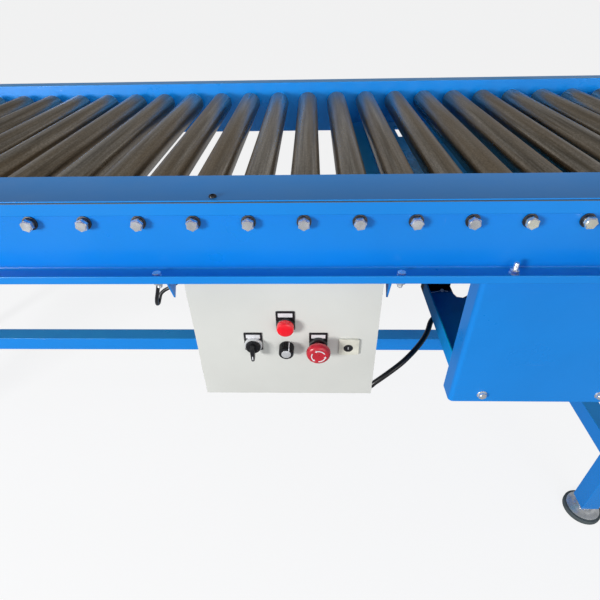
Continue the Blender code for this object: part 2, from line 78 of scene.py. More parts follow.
# Places worked out from the frame
NEAR_LOW, NEAR_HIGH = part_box("near_side_frame")
FAR_LOW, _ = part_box("far_side_frame")
FLANGE_WALL = 0.0032
NEAR_WEB_OUT = NEAR_HIGH.y - FLANGE_WALL
FAR_WEB_OUT = FAR_LOW.y + FLANGE_WALL
BOTTOM_FLANGE_TOP = NEAR_LOW.z + FLANGE_WALL
DOOR_LOW, DOOR_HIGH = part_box("control_door")
BOX_LOW, BOX_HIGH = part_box("control_box")
COVER_LOW, COVER_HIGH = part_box("drive_cover")
AXIS_Z = PIVOTS["roller_01_spin"][2]
DRIVE_X, _, DRIVE_Z = PIVOTS["motor_sprocket_spin"]
TRAY_FLOOR_TOP = AXIS_Z - 0.308

# Rollers, sprockets and chains
TUBE_RADIUS = 0.0243
TUBE_START, TUBE_END = -0.3146, 0.3354
SPINDLE_RADIUS = 0.006
SPROCKET_TEETH = 16
SPROCKET_TIP, SPROCKET_ROOT = 0.0301, 0.0262
DRIVE_SPROCKET_Y, SPROCKET_WIDTH = -0.3366, 0.0030
LINK_PITCH = 0.0127
CHAIN_HEIGHT = 0.0078
CHAIN_BAND_HALF = 0.004
PIN_RADIUS = 0.0021
YELLOW_BOLTS = (21, 22)


# --- materials

def add_node(tree, kind, inputs=None, **settings):
    """A shader node with its settings made and its inputs linked or set."""
    made = tree.nodes.new("ShaderNode" + kind)
    for key, value in settings.items():
        setattr(made, key, value)
    for key, value in (inputs or {}).items():
        if isinstance(value, bpy.types.NodeSocket):
            tree.links.new(value, made.inputs[key])
        else:
            made.inputs[key].default_value = value
    return made


def new_material(name, roughness=0.5, metallic=0.0, coat=0.0, specular=0.5):
    made = bpy.data.materials.new(name)
    made.use_nodes = True
    tree = made.node_tree
    shader = tree.nodes["Principled BSDF"]
    for socket, value in (("Roughness", roughness), ("Metallic", metallic), ("Coat Weight", coat),
                          ("Coat Roughness", 0.12), ("Specular IOR Level", specular)):
        shader.inputs[socket].default_value = value
    return made, tree, shader


def object_coords(tree, scale=(1, 1, 1), vary=False):
    """Object coordinates, stretched, and moved on from one piece to the next where vary is set."""
    coords = add_node(tree, "TexCoord").outputs["Object"]
    if vary:
        place = add_node(tree, "ObjectInfo").outputs["Location"]
        shift = add_node(tree, "VectorMath", {0: place, 1: (7.3, 3.1, 5.7)}, operation="MULTIPLY")
        coords = add_node(tree, "VectorMath", {0: coords, 1: shift.outputs[0]}, operation="ADD").outputs[0]
    return add_node(tree, "Mapping", {"Vector": coords, "Scale": scale}).outputs["Vector"]


def noise(tree, coords, scale, detail=4.0, rough=0.55):
    made = add_node(tree, "TexNoise", {"Vector": coords, "Scale": scale, "Detail": detail,
                                       "Roughness": rough})
    return made.outputs["Fac"]


def spread(tree, value, low, high, out_low=0.0, out_high=1.0):
    """A value moved from one range to another, with its ends held."""
    made = add_node(tree, "MapRange", {"Value": value, "From Min": low, "From Max": high,
                                       "To Min": out_low, "To Max": out_high})
    return made.outputs["Result"]


def mix(tree, factor, first, second):
    made = tree.nodes.new("ShaderNodeMix")
    made.data_type = "RGBA"
    for socket, value in ((made.inputs[0], factor), (made.inputs[6], first), (made.inputs[7], second)):
        if isinstance(value, bpy.types.NodeSocket):
            tree.links.new(value, socket)
        else:
            socket.default_value = (*value, 1.0) if hasattr(value, "__len__") else value
    return made.outputs[2]


def times(tree, first, second):
    return add_node(tree, "Math", {0: first, 1: second}, operation="MULTIPLY").outputs[0]


def bump(tree, shader, height, strength, distance):
    made = add_node(tree, "Bump", {"Height": height, "Strength": strength, "Distance": distance})
    tree.links.new(made.outputs["Normal"], shader.inputs["Normal"])


def uneven_gloss(tree, shader, pattern, roughness, smoother, rougher):
    varied = spread(tree, pattern, 0.3, 0.7, roughness - smoother, roughness + rougher)
    tree.links.new(varied, shader.inputs["Roughness"])


def axis_part(tree, vector, axis):
    return add_node(tree, "SeparateXYZ", {"Vector": vector}).outputs[axis]


def surface_normal(tree):
    return add_node(tree, "NewGeometry").outputs["Normal"]


def scaled(colour, factor):
    return tuple(min(1.0, c * factor) for c in colour)


def painted(name, colour, roughness, dust_and_painted_light, dust_and_painted_light_share, wear, coat, peel):
    """Sheet metal paint: slow colour drift, fine scratches, orange peel, and a third colour in patches on
    what faces up, which is dust on most paints and painted light on the worn blue frame paint.
    """
    made, tree, shader = new_material(name, roughness, coat=coat)
    coords = object_coords(tree)
    drift = spread(tree, noise(tree, coords, 3.5), 0.3, 0.7)
    base = mix(tree, drift, scaled(colour, 0.93), scaled(colour, 1.06))
    lines = noise(tree, object_coords(tree, (3, 9, 260)), 1.6, 3.0, 0.7)
    marks = noise(tree, object_coords(tree, (60, 60, 11)), 1.3, 6.0, 0.75)
    scratch = times(tree, spread(tree, lines, 0.66, 0.72), spread(tree, noise(tree, coords, 6.0), 0.5, 0.62))
    scuffs = spread(tree, marks, 0.69, 0.74)
    worn = times(tree, add_node(tree, "Math", {0: scratch, 1: scuffs}, operation="MAXIMUM").outputs[0], wear)
    base = mix(tree, worn, base, tuple(0.55 * c + 0.22 for c in colour))
    # What faces up takes the third colour in patches: dust on most paints; on the worn blue paint a lighter
    # blue, which is painted light.
    facing_up = spread(tree, axis_part(tree, surface_normal(tree), "Z"), 0.5, 0.95)
    patchy = spread(tree, noise(tree, coords, 14.0, 6.0), 0.25, 0.75, 0.55, 1.0)
    base = mix(tree, times(tree, times(tree, facing_up, patchy), dust_and_painted_light_share), base, dust_and_painted_light)
    tree.links.new(base, shader.inputs["Base Color"])
    uneven_gloss(tree, shader, noise(tree, coords, 9.0, 5.0), roughness, 0.06, 0.1)
    bump(tree, shader, noise(tree, coords, 420.0, 2.0), peel, 0.0004)
    return made


def worn_tube(name, dark, light, rust, roughness):
    """Plain steel tube: brown and olive streaks along it, paler rubbed lengths and fine rust specks."""
    made, tree, shader = new_material(name, roughness, metallic=1.0)
    coords = object_coords(tree, vary=True)
    fine = noise(tree, object_coords(tree, (150, 3, 150), vary=True), 1.0, 6.0, 0.65)
    wide = noise(tree, object_coords(tree, (28, 1.2, 28), vary=True), 1.0, 4.0, 0.55)
    base = mix(tree, spread(tree, fine, 0.36, 0.66), dark, light)
    base = mix(tree, spread(tree, wide, 0.44, 0.64, 0.0, 0.75), base, rust)
    mottle = noise(tree, object_coords(tree, (420, 160, 420), vary=True), 1.0, 4.0, 0.7)
    base = mix(tree, spread(tree, mottle, 0.40, 0.62, 0.45, 0.0), base, scaled(dark, 0.6))
    specks = spread(tree, noise(tree, coords, 150.0, 3.0, 0.7), 0.64, 0.70, 0.0, 0.6)
    base = mix(tree, specks, base, scaled(rust, 0.4))
    tree.links.new(base, shader.inputs["Base Color"])
    varied = spread(tree, wide, 0.40, 0.65, roughness - 0.04, roughness + 0.14)
    tree.links.new(varied, shader.inputs["Roughness"])
    bump(tree, shader, fine, 0.05, 0.0002)
    return made


def bare_metal(name, colour, roughness, stain=(0.25, 0.2, 0.13), stain_share=0.35, metallic=1.0):
    """Plated or oiled steel with a fine grain, uneven gloss and light staining."""
    made, tree, shader = new_material(name, roughness, metallic=metallic)
    coords = object_coords(tree, vary=True)
    drift = spread(tree, noise(tree, coords, 60.0), 0.3, 0.7)
    base = mix(tree, drift, scaled(colour, 0.82), scaled(colour, 1.12))
    stains = spread(tree, noise(tree, coords, 35.0, 6.0, 0.7), 0.55, 0.75, 0.0, stain_share)
    tree.links.new(mix(tree, stains, base, stain), shader.inputs["Base Color"])
    uneven_gloss(tree, shader, noise(tree, coords, 80.0), roughness, 0.07, 0.12)
    bump(tree, shader, noise(tree, coords, 300.0, 3.0), 0.1, 0.0002)
    return made


def moulded(name, colour, roughness, grain=500.0, strength=0.12, glow=0.0, coat=0.0):
    """Moulded plastic or rubber with a fine grain and handling marks."""
    made, tree, shader = new_material(name, roughness, coat=coat)
    coords = object_coords(tree, vary=True)
    drift = spread(tree, noise(tree, coords, 45.0), 0.3, 0.7)
    base = mix(tree, drift, scaled(colour, 0.85), scaled(colour, 1.12))
    smears = spread(tree, noise(tree, coords, 120.0, 5.0, 0.7), 0.6, 0.75, 0.0, 0.25)
    base = mix(tree, smears, base, tuple(0.6 * c + 0.12 for c in colour))
    tree.links.new(base, shader.inputs["Base Color"])
    uneven_gloss(tree, shader, noise(tree, coords, 90.0), roughness, 0.06, 0.1)
    bump(tree, shader, noise(tree, coords, grain, 2.0), strength, 0.0003)
    if glow:
        shader.inputs["Emission Color"].default_value = (*colour, 1.0)
        shader.inputs["Emission Strength"].default_value = glow
    return made


def tray_paint_with_painted_shade():
    """The motor tray's blue paint with painted light and shade: darker towards the back as painted shade,
    nearly black at the rear edge as painted shadow, brighter on the faces that don't face left as painted
    light, and with stains over it.
    """
    made, tree, shader = new_material("tray_blue_with_painted_shade", 0.5, specular=0.08)
    coords = object_coords(tree)
    # Painted shade: the blue darkens towards the back of the tray.
    depth = axis_part(tree, coords, "Y")
    back = spread(tree, depth, -0.34, -0.13)
    # Lit and shaded copies of the blue: the faces that don't face left take the brighter set, as painted
    # light.
    inside = mix(tree, back, (0.0, 0.75, 1.0), (0.0, 0.26, 0.60))
    outside = mix(tree, back, (0.004, 0.36, 0.95), (0.002, 0.16, 0.42))
    painted_light_split = spread(tree, axis_part(tree, surface_normal(tree), "X"), -0.5, -0.8)
    base = mix(tree, painted_light_split, inside, outside)
    stained = spread(tree, noise(tree, coords, 20.0, 6.0), 0.45, 0.75, 0.0, 0.2)
    base = mix(tree, stained, base, (0.004, 0.03, 0.08))
    # Painted shadow: the rear edge goes nearly black.
    painted_shadow_rear = spread(tree, depth, -0.100, -0.088)
    tree.links.new(mix(tree, painted_shadow_rear, base, (0.0, 0.001, 0.006)), shader.inputs["Base Color"])
    bump(tree, shader, noise(tree, coords, 420.0, 2.0), 0.1, 0.0004)
    return made


# The third colour here is a lighter blue on what faces up: painted light, not dust.
BLUE = painted("worn_blue_paint", (0.003, 0.262, 0.82), 0.30, (0.03, 0.44, 0.85), 0.65, 0.2, 0.05, 0.08)
COVER_BLUE = painted("dusty_blue_paint", (0.004, 0.262, 0.80), 0.34, (0.09, 0.24, 0.42), 0.35, 0.4, 0.0, 0.10)
# The motor tray's blue, with painted shade towards the back and painted light inside.
TRAY_BLUE = tray_paint_with_painted_shade()
CREAM = painted("textured_cream_paint", (0.74, 0.745, 0.70), 0.5, (0.5, 0.5, 0.45), 0.2, 0.12, 0.0, 0.3)
GREY = painted("motor_grey_paint", (0.20, 0.22, 0.24), 0.45, (0.3, 0.3, 0.3), 0.35, 0.3, 0.1, 0.3)
TUBE = worn_tube("worn_roller_tube", (0.23, 0.185, 0.130), (0.66, 0.58, 0.47), (0.38, 0.28, 0.17), 0.30)
ZINC = bare_metal("zinc_plated_steel", (0.88, 0.89, 0.89), 0.24, stain_share=0.2, metallic=0.75)
YELLOW_ZINC = bare_metal("yellow_zinc_steel", (0.95, 0.90, 0.74), 0.26, stain_share=0.25, metallic=0.65)
# Oiled steel for the chains and sprockets; also the painted shade of the spindle bolts' washer stacks.
CHAIN_STEEL_AND_SHADE = bare_metal("oiled_chain_steel_and_painted_shade", (0.13, 0.125, 0.12), 0.42, (0.06, 0.045, 0.03), 0.5)
SILVER = bare_metal("satin_silver", (0.88, 0.89, 0.90), 0.22, (0.5, 0.5, 0.5), 0.1, metallic=0.5)
BLACK = moulded("black_plastic_grain", (0.010, 0.010, 0.012), 0.36)
# Dark rubber for the foot pads and door seal; also the strip under the chain cover, which is painted shadow.
RUBBER_AND_SHADOW_STRIP = moulded("dark_rubber_and_painted_shadow", (0.085, 0.105, 0.110), 0.6, 260.0, 0.3)
CABLE = moulded("black_cable_sheath", (0.006, 0.006, 0.007), 0.30, 700.0, 0.05, coat=0.15)
RED_STOP = moulded("crimson_stop_plastic", (0.60, 0.018, 0.035), 0.3, 600.0, 0.05, coat=0.3)
RED_LENS = moulded("red_lens_plastic", (0.80, 0.0, 0.012), 0.16, 500.0, 0.03, 0.22, 0.6)
# White print on the controls; also the painted highlight on the motor tray's rim and screw.
PRINT_AND_HIGHLIGHT_WHITE = moulded("white_print_and_painted_highlight", (0.82, 0.82, 0.84), 0.5)
LOCK_CREAM = moulded("cream_lock_plastic", (0.76, 0.745, 0.64), 0.42)
SLOT_FINISH = {
    "blue_paint": BLUE, "cream_paint": CREAM, "roller_steel": TUBE, "zinc_plate": ZINC,
    "chain_steel": CHAIN_STEEL_AND_SHADE, "motor_grey": GREY, "black_plastic": BLACK, "red_plastic": RED_STOP,
}


# --- mesh helpers

OUT_NEAR = Matrix.Rotation(math.pi / 2, 4, "X")
OUT_FAR = Matrix.Rotation(-math.pi / 2, 4, "X")
UPRIGHT = Matrix.Identity(4)
UPSIDE_DOWN = Matrix.Rotation(math.pi, 4, "X")


def at(place, turn=UPRIGHT):
    return Matrix.Translation(Vector(place)) @ turn


def centre_of(node):
    low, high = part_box(node)
    return (low + high) / 2


def polar(radius, angle):
    return radius * math.cos(angle), radius * math.sin(angle)


def lathe(bm, profile, sides=32, matrix=UPRIGHT, finish=0, ring=False):
    """Turns (radius, height) points round local Z. A ring joins its last point to its first."""
    rows = []
    for radius, height in profile:
        count = 1 if radius < 1e-6 else sides
        rows.append([bm.verts.new(matrix @ Vector((*polar(radius, 2 * math.pi * i / sides), height)))
                     for i in range(count)])
    pairs = list(zip(rows, rows[1:]))
    if ring:
        pairs.append((rows[-1], rows[0]))
    for a, b in pairs:
        for i in range(sides):
            j = (i + 1) % sides
            quad = [a[i % len(a)], a[j % len(a)], b[j % len(b)], b[i % len(b)]]
            corners = list(dict.fromkeys(quad))
            if len(corners) > 2:
                bm.faces.new(corners).material_index = finish


def slab(bm, outline, low, high, matrix=UPRIGHT):
    """A flat outline in local X and Y pushed from one height to another."""
    bottom = [bm.verts.new(matrix @ Vector((x, y, low))) for x, y in outline]
    top = [bm.verts.new(matrix @ Vector((x, y, high))) for x, y in outline]
    bm.faces.new(list(reversed(bottom)))
    bm.faces.new(top)
    for i in range(len(outline)):
        j = (i + 1) % len(outline)
        bm.faces.new((bottom[i], bottom[j], top[j], top[i]))


def brick(bm, low, high):
    """A box between two corners."""
    outline = [(low[0], low[1]), (high[0], low[1]), (high[0], high[1]), (low[0], high[1])]
    slab(bm, outline, low[2], high[2])


def circle(radius, sides, start=0.0):
    return [polar(radius, start + 2 * math.pi * i / sides) for i in range(sides)]


def rounded(width, height, radius, centre=(0, 0), steps=4):
    """A rectangle's outline with round corners."""
    points = []
    for quarter, (sx, sy) in enumerate(((1, 1), (-1, 1), (-1, -1), (1, -1))):
        cx = centre[0] + sx * (width / 2 - radius)
        cy = centre[1] + sy * (height / 2 - radius)
        for step in range(steps + 1):
            x, y = polar(radius, math.pi / 2 * (quarter + step / steps))
            points.append((cx + x, cy + y))
    return points


def link(name, data):
    """A new object in the scene."""
    made = bpy.data.objects.new(name, data)
    bpy.context.scene.collection.objects.link(made)
    return made


def finish_mesh(name, bm):
    bmesh.ops.recalc_face_normals(bm, faces=bm.faces)
    mesh = bpy.data.meshes.new(name)
    bm.to_mesh(mesh)
    bm.free()
    mesh.shade_smooth()
    mesh.set_sharp_from_angle(angle=SHARP_FROM)
    return mesh


def soften(piece, width):
    step = piece.modifiers.new("round_edges", "BEVEL")
    step.width = width
    step.segments = 2
    step.limit_method = "ANGLE"
    step.angle_limit = SHARP_FROM
    step.harden_normals = True


def put(name, shape, finishes, place=UPRIGHT, body=FIXED, replaces=(), edge=0.0):
    """Makes a piece of a mesh or bmesh, with its place, materials and slot, and has it ride on a body."""
    mesh = finish_mesh(name, shape) if isinstance(shape, bmesh.types.BMesh) else shape
    if not mesh.materials:
        for finish in finishes:
            mesh.materials.append(finish)
    piece = link(name, mesh)
    piece.matrix_world = place
    if edge:
        soften(piece, edge)
    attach(piece, body)
    if replaces:
        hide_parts(*replaces)


# --- carried-over CAD nodes

SHEET_NODES = {
    "near_side_frame": 0.0012, "far_side_frame": 0.0012, "chain_cover": 0.0006, "cross_tie": 0.0010,
    "under_pan": 0.0006, "left_near_leg": 0.0010, "left_far_leg": 0.0010, "right_near_leg": 0.0010,
    "right_far_leg": 0.0010, "left_leg_cross_member": 0.0010, "right_leg_cross_member": 0.0010,
    "lower_rail": 0.0010, "box_bracket": 0.0008, "drive_cover": 0.0009, "motor_base": 0.0010,
    "control_box": 0.0008, "control_door": 0.0009,
}


def dress_cad_nodes():
    """Gives each CAD node its finish, and rounds the sheet metal's edges."""
    finish_of = {part["node"]: part["material_slot"] for part in frame["record"]["subparts"]}
    for name, node in NODES.items():
        node.data.materials.clear()
        node.data.materials.append(SLOT_FINISH[finish_of[name]])
    NODES["motor_base"].data.materials[0] = TRAY_BLUE
    NODES["chain_cover"].data.materials[0] = COVER_BLUE
    for name, width in SHEET_NODES.items():
        weld = NODES[name].modifiers.new("weld", "WELD")
        weld.merge_threshold = 0.00001
        soften(NODES[name], width)


# --- fasteners

def hexagon(across):
    return circle(across / math.sqrt(3), 6, math.pi / 6)


def bolt_head(bm, matrix, across, head, washer):
    """A washer and a chamfered hexagon head, standing on local Z = 0."""
    thick = washer * 0.14
    rim = washer - 0.0003
    lathe(bm, [(0, 0), (washer, 0), (washer, thick - 0.0003), (rim, thick), (0, thick)], 28, matrix)
    low, top = thick + head * 0.86, thick + head
    slab(bm, hexagon(across), thick, low, matrix)
    lathe(bm, [(0, low - 0.0002), (across / 2, low - 0.0002), (across * 0.44, top), (0, top)], 24, matrix)


def nut_and_end(bm, matrix, across, tall, washer, thread, reach):
    """A washer, a nut and a bolt's threaded end, standing on local Z = 0."""
    bolt_head(bm, matrix, across, tall, washer)
    top = washer * 0.14 + tall
    profile = [(0, top - 0.0002)]
    rings = max(2, round((reach - 0.001) / 0.0015))
    for i in range(rings):
        low = top + (reach - 0.001) * i / rings
        profile += [(thread * 0.9, low), (thread, low + 0.0007)]
    profile += [(thread * 0.8, top + reach), (0, top + reach)]
    lathe(bm, profile, 18, matrix)


def button_screw(bm, matrix, radius):
    """A domed screw head with a round recess."""
    lathe(bm, [(0, 0), (radius, 0), (radius, radius * 0.25), (radius * 0.85, radius * 0.5),
               (radius * 0.5, radius * 0.62), (radius * 0.48, radius * 0.2), (0, radius * 0.2)], 24, matrix)


def fastener_mesh(name, build, *sizes):
    bm = bmesh.new()
    build(bm, UPRIGHT, *sizes)
    return finish_mesh(name, bm)


def spindle_bolt(bm, matrix):
    """A bolt head standing on a stack of a flat and a spring washer, coloured dark as painted shade at the
    side of the head.
    """
    stack = 0.0050
    lathe(bm, [(0, 0), (0.0100, 0), (0.0100, 0.0020), (0.0088, 0.0022), (0.0088, stack), (0, stack)], 28,
          matrix, 1)
    bolt_head(bm, matrix @ at((0, 0, stack)), 0.0150, 0.0062, 0.0074)


def frame_bolts():
    """The bolt and washers at each end of every spindle, outside the two webs."""
    plain = fastener_mesh("spindle_bolt", spindle_bolt)
    yellow = plain.copy()
    random.seed(11)
    for index in range(ROLLER_COUNT):
        x = PIVOTS[f"roller_{index + 1:02d}_spin"][0]
        turn = Matrix.Rotation(random.uniform(0, math.pi / 3), 4, "Z")
        for side, y, out in (("near", NEAR_WEB_OUT, OUT_NEAR), ("far", FAR_WEB_OUT, OUT_FAR)):
            is_yellow = side == "near" and index in YELLOW_BOLTS
            mesh, finish = (yellow, YELLOW_ZINC) if is_yellow else (plain, ZINC)
            # The washer stack takes the dark chain steel: painted shade.
            put(f"{side}_spindle_bolt_{index + 1:02d}", mesh, [finish, CHAIN_STEEL_AND_SHADE],
                at((x, y, AXIS_Z - 0.0017), out @ turn))


def cover_gap_painted_shadow():
    """A thin dark rubber strip under the chain cover's front edge, standing in for the shadow in the gap
    there: painted shadow.
    """
    low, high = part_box("chain_cover")
    bm = bmesh.new()
    brick(bm, (low.x, NEAR_LOW.y - 0.0003, NEAR_HIGH.z - 0.0012),
          (high.x, NEAR_LOW.y + 0.0010, NEAR_HIGH.z + 0.0001))
    put("chain_cover_seal", bm, [RUBBER_AND_SHADOW_STRIP])


def web_fillets():
    """The inside of the bend between each web and its bottom flange."""
    radius = 0.0028
    arc = [(radius - radius * math.sin(a), radius - radius * math.cos(a))
           for a in (math.pi / 2 * i / 6 for i in range(7))]
    along = Matrix.Rotation(math.pi / 2, 4, "Y") @ Matrix.Rotation(math.pi / 2, 4, "Z")
    for side, way, y in (("near", -1, NEAR_WEB_OUT), ("far", 1, FAR_WEB_OUT)):
        outline = [(0, 0)] + [(way * across, up) for across, up in arc]
        bm = bmesh.new()
        slab(bm, outline if way > 0 else list(reversed(outline)), NEAR_LOW.x, NEAR_HIGH.x, along)
        put(f"{side}_web_fillet", bm, [BLUE], at((0, y, BOTTOM_FLANGE_TOP)))


def flange_bolts():
    """The bolts through the two channels' bottom flanges."""
    head = fastener_mesh("flange_bolt_head", bolt_head, 0.0112, 0.0042, 0.0064)
    end = fastener_mesh("flange_bolt_end", nut_and_end, 0.0128, 0.0065, 0.0085, 0.004, 0.006)
    bracket_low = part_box("box_bracket")[1].z - 0.003
    plate_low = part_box("right_near_leg")[1].z - 0.005
    places = [("bracket_left", 0.0522, -0.377, bracket_low), ("bracket_right", 0.3989, -0.377, bracket_low)]
    for leg in ("left", "right"):
        x = centre_of(f"{leg}_near_leg").x
        for side, y in (("near", -0.376), ("far", 0.376)):
            places += [(f"{leg}_leg_{side}_a", x - 0.028, y, plate_low),
                       (f"{leg}_leg_{side}_b", x + 0.028, y, plate_low)]
    for label, x, y, low in places:
        put(f"{label}_bolt_head", head, [ZINC], at((x, y, BOTTOM_FLANGE_TOP)))
        put(f"{label}_bolt_end", end, [ZINC], at((x, y, low), UPSIDE_DOWN))
    stud = fastener_mesh("cover_stud", nut_and_end, 0.0112, 0.0055, 0.0072, 0.0036, 0.0105)
    for i, x in enumerate((COVER_LOW.x + 0.0340, COVER_HIGH.x - 0.0340)):
        put(f"drive_cover_stud_{i + 1}", stud, [ZINC], at((x, -0.373, BOTTOM_FLANGE_TOP)))


def cover_fasteners():
    """The drive cover's front bolts and the chain cover's black screws."""
    bolt = fastener_mesh("drive_cover_bolt", bolt_head, 0.0128, 0.0053, 0.0088)
    for i, shift in enumerate((0.0560, 0.2640)):
        put(f"drive_cover_bolt_{i + 1}", bolt, [ZINC],
            at((COVER_LOW.x + shift, COVER_LOW.y + 0.0254, COVER_LOW.z + 0.019), OUT_NEAR))
    screw = fastener_mesh("chain_cover_screw", button_screw, 0.0050)
    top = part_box("chain_cover")[1].z
    for i, x in enumerate((-0.95, -0.40, 0.15, 0.70)):
        put(f"chain_cover_screw_{i + 1}", screw, [BLACK], at((x, -0.384, top)))


# --- rollers and chains

def gear(teeth, root, tip):
    """A sprocket's outline: rounded valleys between blunt teeth."""
    points = []
    for i in range(teeth):
        for share, radius in ((0.0, root), (0.12, root + 0.0004), (0.30, tip - 0.0012), (0.40, tip),
                              (0.60, tip), (0.70, tip - 0.0012), (0.88, root + 0.0004)):
            points.append(polar(radius, 2 * math.pi * (i + share) / teeth))
    return points


def holed_slab(bm, outline, hole, low, high, matrix=UPRIGHT, finish=0):
    """A flat outline with a round hole, as a closed band."""
    count = len(outline)
    rows = []
    for height in (low, high):
        rows.append([bm.verts.new(matrix @ Vector((x, y, height))) for x, y in outline])
        rows.append([bm.verts.new(matrix @ Vector((*polar(hole, math.atan2(y, x)), height)))
                     for x, y in outline])
    outer_low, inner_low, outer_high, inner_high = rows
    for a, b in ((outer_low, outer_high), (inner_high, inner_low), (inner_low, outer_low),
                 (outer_high, inner_high)):
        for i in range(count):
            j = (i + 1) % count
            bm.faces.new((a[i], a[j], b[j], b[i])).material_index = finish


def sprocket(bm, middle, finish, bore):
    holed_slab(bm, gear(SPROCKET_TEETH, SPROCKET_ROOT, SPROCKET_TIP), bore, middle - SPROCKET_WIDTH / 2,
               middle + SPROCKET_WIDTH / 2, OUT_FAR, finish)


def roller_mesh(name, driven):
    """A tube with crimped round ends, bearing caps and its welded sprocket, turned about Y."""
    bm = bmesh.new()
    bore = SPINDLE_RADIUS + 0.0006
    start, end, r, bend = TUBE_START, TUBE_END, TUBE_RADIUS, 0.0036
    profile = [(bore, start + 0.004), (0.0180, start + 0.004), (0.0185, start + 0.0008)]
    quarter = [polar(bend, math.pi / 2 * step / 5) for step in range(6)]
    profile += [(r - bend + out, start + bend - along) for along, out in quarter]
    profile += [(r - bend + out, end - bend + along) for out, along in quarter]
    profile += [(0.0185, end - 0.0008), (0.0180, end - 0.004), (bore, end - 0.004)]
    lathe(bm, profile, 48, OUT_FAR, 0, ring=True)
    cap = [(bore, end - 0.0038), (0.0176, end - 0.0038), (0.0176, end - 0.0022), (0.0120, end - 0.0022),
           (0.0112, end - 0.0012), (bore, end - 0.0012)]
    lathe(bm, cap, 32, OUT_FAR, 1, ring=True)
    sprocket(bm, -0.3191, 2, bore)
    lathe(bm, [(bore, -0.3230), (0.0170, -0.3230), (0.0180, -0.3222), (0.0180, start + 0.003),
               (bore, start + 0.003)], 32, OUT_FAR, 2, ring=True)
    if driven:
        sprocket(bm, DRIVE_SPROCKET_Y, 2, bore)
        lathe(bm, [(bore, -0.3405), (0.0160, -0.3405), (0.0160, -0.3232), (bore, -0.3232)], 32, OUT_FAR, 2,
              ring=True)
    return finish_mesh(name, bm)


def spindle_mesh():
    """The fixed bar that a roller turns on, with a shoulder nut inside the far web."""
    bm = bmesh.new()
    low, high = NEAR_HIGH.y, FAR_LOW.y
    lathe(bm, [(0, low), (SPINDLE_RADIUS - 0.0004, low), (SPINDLE_RADIUS, low + 0.0004),
               (SPINDLE_RADIUS, high - 0.0004), (SPINDLE_RADIUS - 0.0004, high), (0, high)], 24, OUT_FAR)
    holed_slab(bm, hexagon(0.0165), SPINDLE_RADIUS, high - 0.0060, high - 0.0002, OUT_FAR)
    return finish_mesh("spindle", bm)


def rollers():
    plain, driven = roller_mesh("plain_roller", False), roller_mesh("driven_roller", True)
    spindle = spindle_mesh()
    for index in range(ROLLER_COUNT):
        name = f"roller_{index + 1:02d}"
        place = Vector(PIVOTS[name + "_spin"])
        mesh = driven if abs(place.x - DRIVE_X) < 0.001 else plain
        put(name + "_tube", mesh, [TUBE, ZINC, CHAIN_STEEL_AND_SHADE], at(place), name + "_body", [name])
        put(name + "_spindle", spindle, [ZINC], at(place))


def stadium_points(first, second, radius, count):
    """Evenly spaced points along a belt's line round two equal wheels, as (x, z)."""
    first, second = Vector(first), Vector(second)
    run = second - first
    straight = run.length
    along = run.normalized()
    out = Vector((along.y, -along.x))
    arc = math.pi * radius
    total = 2 * straight + 2 * arc
    points = []
    for i in range(count):
        walk = total * i / count
        if walk < straight:
            points.append(first + along * walk + out * radius)
            continue
        walk -= straight
        if walk < arc:
            angle = walk / radius
            points.append(second + (out * math.cos(angle) + along * math.sin(angle)) * radius)
            continue
        walk -= arc
        if walk < straight:
            points.append(second - along * walk - out * radius)
            continue
        angle = (walk - straight) / radius
        points.append(first + (-out * math.cos(angle) - along * math.sin(angle)) * radius)
    return points


def chain_link(bm, a, b, y, outer):
    """Two waisted side plates from one pin to the next, and both pins on every outer link."""
    run = b - a
    middle = (a + b) / 2
    turn = at((middle.x, y, middle.y)) @ Matrix.Rotation(-math.atan2(run.y, run.x), 4, "Y") @ OUT_NEAR
    half, tall = run.length / 2, CHAIN_HEIGHT / 2
    outline = [(half, tall), (half * 0.35, tall * 0.72), (-half * 0.35, tall * 0.72), (-half, tall),
               (-half - tall * 0.8, 0), (-half, -tall), (-half * 0.35, -tall * 0.72),
               (half * 0.35, -tall * 0.72), (half, -tall), (half + tall * 0.8, 0)]
    low, high = (0.0028, 0.0038) if outer else (0.0017, 0.0027)
    slab(bm, outline, low, high, turn)
    slab(bm, outline, -high, -low, turn)
    if outer:
        for end in (a, b):
            slab(bm, circle(PIN_RADIUS, 8), -0.0027, 0.0027, at((end.x, y, end.y), OUT_NEAR))


def chain(name, node, first, second, radius):
    """A roller chain along a belt line, in place of its plain CAD band."""
    length = 2 * (Vector(second) - Vector(first)).length + 2 * math.pi * radius
    count = 2 * round(length / LINK_PITCH / 2)
    points = stadium_points(first, second, radius, count)
    y = centre_of(node).y
    bm = bmesh.new()
    for i in range(count):
        chain_link(bm, points[i], points[(i + 1) % count], y, i % 2 == 0)
    put(name, bm, [CHAIN_STEEL_AND_SHADE], replaces=[node])


def chains():
    low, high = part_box("bed_chain")
    middle = (high.z + low.z) / 2
    first, last = PIVOTS["roller_01_spin"][0], PIVOTS[f"roller_{ROLLER_COUNT:02d}_spin"][0]
    chain("bed_roller_chain", "bed_chain", (first, middle), (last, middle),
          (high.z - low.z) / 2 - CHAIN_BAND_HALF)
    low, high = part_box("drive_chain")
    chain("drive_roller_chain", "drive_chain", (DRIVE_X, DRIVE_Z), (DRIVE_X, AXIS_Z),
          (high.x - low.x) / 2 - CHAIN_BAND_HALF)


# --- legs and feet

